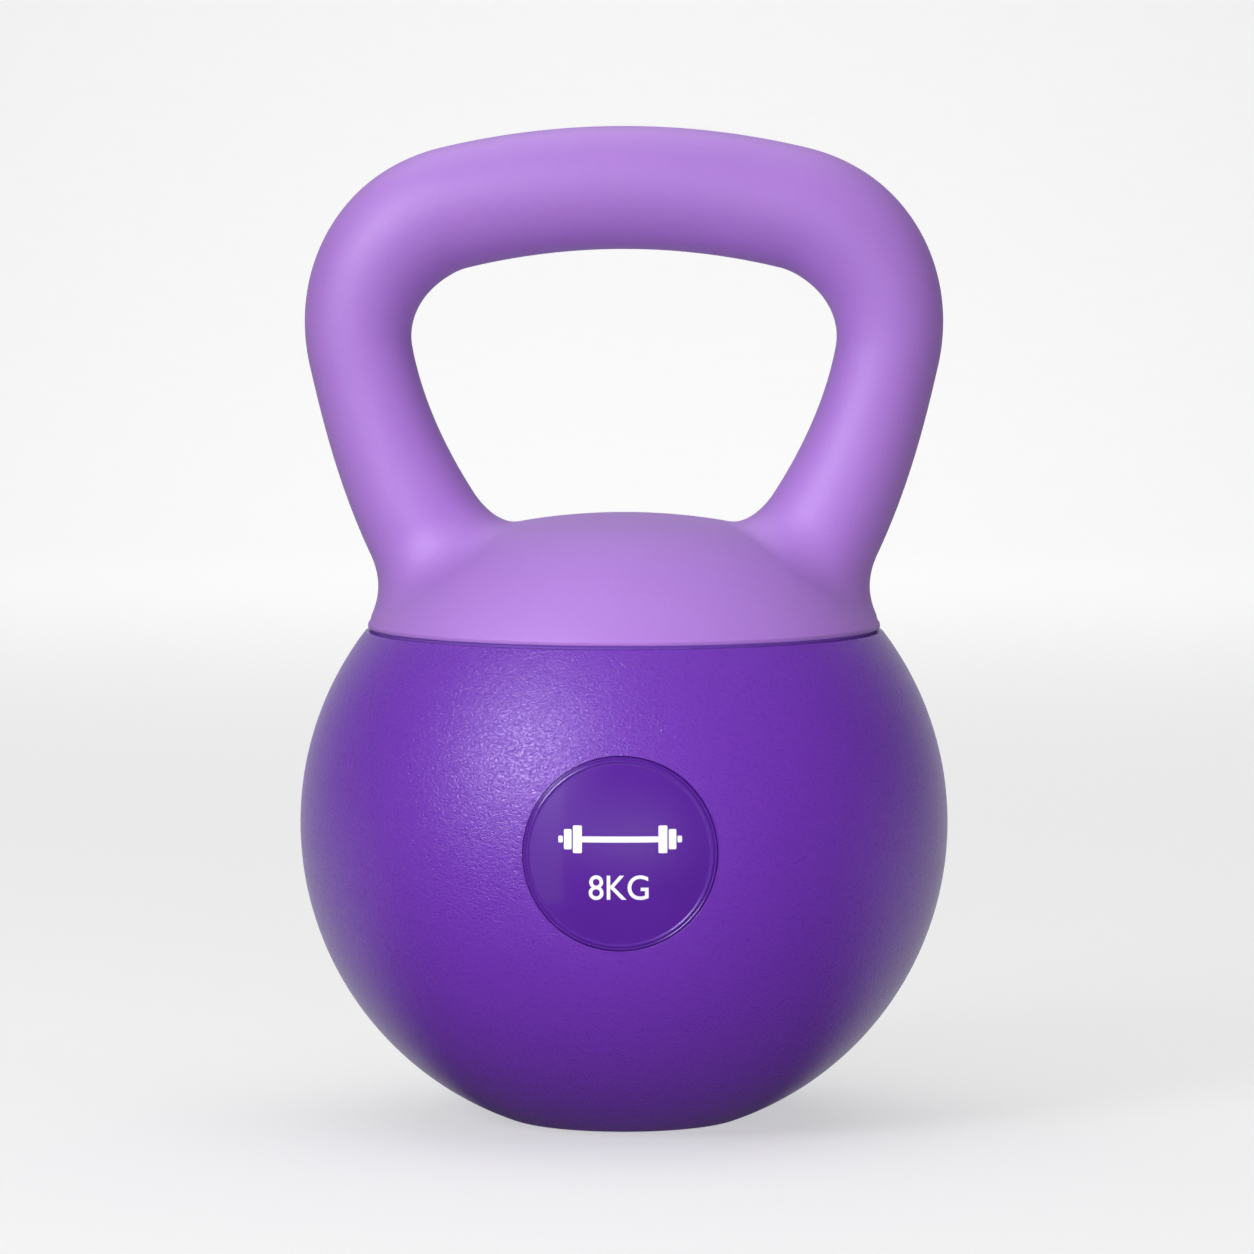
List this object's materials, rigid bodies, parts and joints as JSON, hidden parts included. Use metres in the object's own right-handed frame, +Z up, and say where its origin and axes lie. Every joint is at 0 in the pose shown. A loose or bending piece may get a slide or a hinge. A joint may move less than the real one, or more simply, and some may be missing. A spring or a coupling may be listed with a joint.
{
  "type": "kettlebell",
  "caption": "Soft kettlebell: sand-filled grained vinyl ball with a flat base, joined at a seam to a smooth domed cap with a rounded loop handle, and a round badge on the front.",
  "frame": {"origin": "on the floor under the middle of the ball", "axes": "+Z up, +X along the grip, the label faces -Y"},
  "size_m": [0.18, 0.1796, 0.2761],
  "materials": {
    "handle_vinyl": "satin",
    "ball_vinyl": "satin",
    "label_plastic": "gloss",
    "white_ink": "satin",
    "adhesive_film": "matte",
    "gasket_rubber": "matte",
    "seal_rubber": "matte",
    "plug_plastic": "matte",
    "bush_plastic": "matte",
    "frame_plastic": "matte",
    "tube_steel": "satin",
    "weld_steel": "matte",
    "plate_steel": "satin",
    "fastener_zinc": "satin",
    "iron_sand": "matte"
  },
  "bodies": {
    "root": {"handle_cover": "handle_vinyl", "ball_skin": "ball_vinyl", "label_disc": "label_plastic", "label_print": "white_ink", "label_adhesive": "adhesive_film", "mouth_gasket": "gasket_rubber", "plug_seal": "seal_rubber", "filler_plug": "plug_plastic", "filler_bush": "bush_plastic", "cap_frame": "frame_plastic", "handle_tube": "tube_steel", "tube_welds": "weld_steel", "anchor_plate": "plate_steel", "clamp_plate": "plate_steel", "anchor_nut": "fastener_zinc", "clamp_bolt": "fastener_zinc", "clamp_washer": "fastener_zinc", "lock_washer": "fastener_zinc", "locating_pins": "fastener_zinc", "iron_sand": "iron_sand"}
  },
  "joints": []
}
